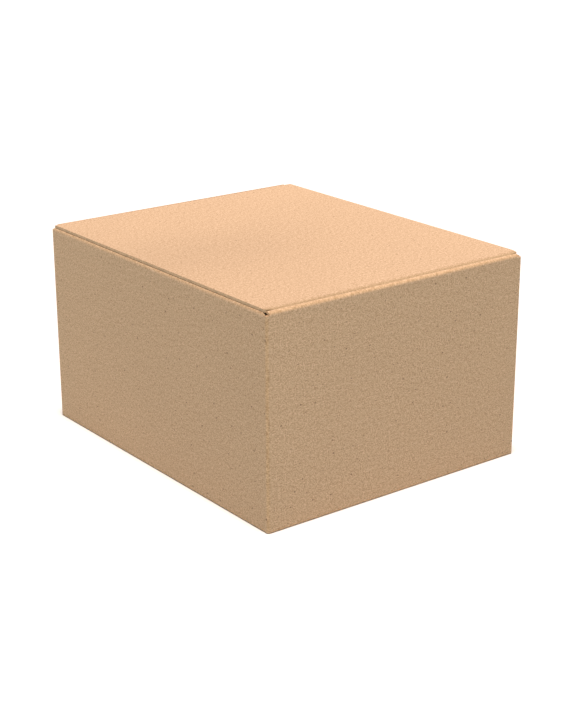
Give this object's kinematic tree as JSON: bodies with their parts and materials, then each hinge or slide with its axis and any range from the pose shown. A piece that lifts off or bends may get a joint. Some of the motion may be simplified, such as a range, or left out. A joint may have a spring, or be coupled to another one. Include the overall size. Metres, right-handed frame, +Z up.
{
  "type": "closed cardboard box",
  "caption": "Plain corrugated carton, closed, with a full lid hinged at a short wall, a tuck flap behind the opposite wall and dust flaps under the lid.",
  "frame": {"origin": "middle of the base, on the surface that the carton stands on", "axes": "+Z up, +X along the short wall that carries the lid's hinge, +Y from that hinge wall to the tuck wall"},
  "size_m": [0.291, 0.352, 0.199],
  "materials": {
    "kraft_board": "matt unbleached kraft paper liner with fine fibre speckle, no print"
  },
  "bodies": {
    "carton": {"carton_body": "kraft_board"},
    "lid": {"top_lid": "kraft_board"}
  },
  "joints": [
    {"name": "lid_hinge", "type": "hinge", "parent": "carton", "child": "lid", "pos_m": [0, -0.17519, 0.19694], "axis": [1, 0, 0], "range_deg": [0, 180]}
  ]
}
